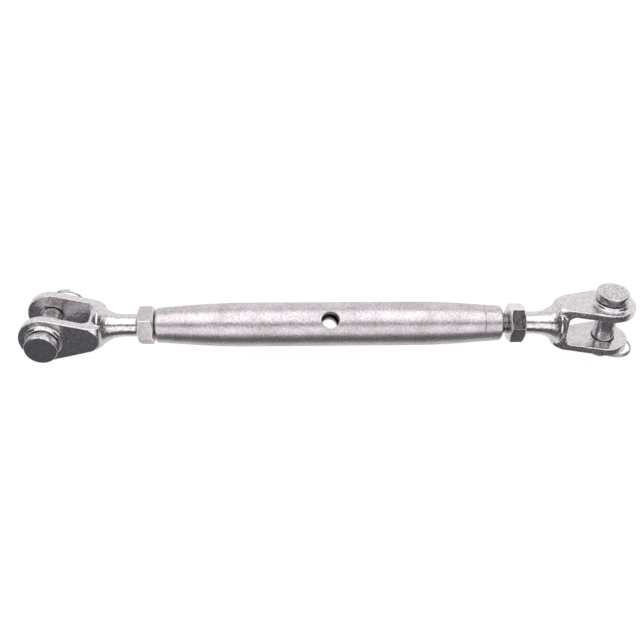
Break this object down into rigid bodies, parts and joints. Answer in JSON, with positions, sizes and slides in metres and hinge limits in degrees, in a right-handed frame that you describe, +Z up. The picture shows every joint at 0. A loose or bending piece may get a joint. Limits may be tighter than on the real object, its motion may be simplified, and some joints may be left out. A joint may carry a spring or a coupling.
{
  "type": "closed-body rigging screw",
  "caption": "Stainless shroud adjuster: a tapered round barrel with a cross hole, threaded at each end onto a clevis fork with lock nut, pin and split ring.",
  "frame": {"origin": "middle of the barrel, on its axis, where the cross hole crosses it", "axes": "+X along the barrel towards the end with the scribed ring (left-hand thread), +Z up from the surface that it lies on, +Y across it"},
  "size_m": [0.2311, 0.0282, 0.0274],
  "materials": {
    "brushed_stainless": "satin, brushed round the axis, slightly mottled",
    "polished_stainless": "polished castings with soft ripples",
    "turned_stainless": "bright turned and milled",
    "wire_stainless": "bright drawn wire"
  },
  "bodies": {
    "barrel": {"barrel": "brushed_stainless"},
    "left_fork": {"left_fork": "polished_stainless"},
    "right_fork": {"right_fork": "polished_stainless"},
    "left_lock_nut": {"left_lock_nut": "turned_stainless"},
    "right_lock_nut": {"right_lock_nut": "turned_stainless"},
    "left_clevis_pin": {"left_clevis_pin": "turned_stainless"},
    "right_clevis_pin": {"right_clevis_pin": "turned_stainless"},
    "left_split_ring": {"left_split_ring": "wire_stainless"},
    "right_split_ring": {"right_split_ring": "wire_stainless"}
  },
  "joints": [
    {"name": "left_nut_travel", "type": "slide", "parent": "left_fork", "child": "left_lock_nut", "axis": [1, 0, 0], "range_m": [0, 0.045]},
    {"name": "barrel_turn", "type": "hinge", "parent": "left_lock_nut", "child": "barrel", "pos_m": [0, 0, 0], "axis": [1, 0, 0], "range_deg": [0, 12960]},
    {"name": "right_nut_turn", "type": "hinge", "parent": "barrel", "child": "right_lock_nut", "pos_m": [0.071, 0, 0], "axis": [1, 0, 0], "range_deg": [-12960, 0]},
    {"name": "right_fork_travel", "type": "slide", "parent": "right_lock_nut", "child": "right_fork", "axis": [1, 0, 0], "range_m": [0, 0.045]},
    {"name": "left_pin_turn", "type": "hinge", "parent": "left_fork", "child": "left_clevis_pin", "pos_m": [-0.1045, 0, 0], "axis": [0, -0.6157, 0.788], "continuous": true},
    {"name": "right_pin_turn", "type": "hinge", "parent": "right_fork", "child": "right_clevis_pin", "pos_m": [0.1053, 0, 0], "axis": [0, 0.8049, 0.5934], "continuous": true},
    {"name": "left_ring_swing", "type": "hinge", "parent": "left_clevis_pin", "child": "left_split_ring", "pos_m": [-0.1045, 0.00694, -0.00889], "axis": [-0.309, 0.7494, 0.5855], "range_deg": [0, 180]},
    {"name": "right_ring_swing", "type": "hinge", "parent": "right_clevis_pin", "child": "right_split_ring", "pos_m": [0.1053, -0.00944, -0.00696], "axis": [0, 0.5934, -0.8049], "range_deg": [-1.5, 186]}
  ],
  "couplings": [
    {"joint": "left_nut_travel", "follows": "barrel_turn", "m_per_rad": 0.00019894},
    {"joint": "right_nut_turn", "follows": "barrel_turn", "ratio": -1},
    {"joint": "right_fork_travel", "follows": "barrel_turn", "m_per_rad": 0.00019894}
  ]
}
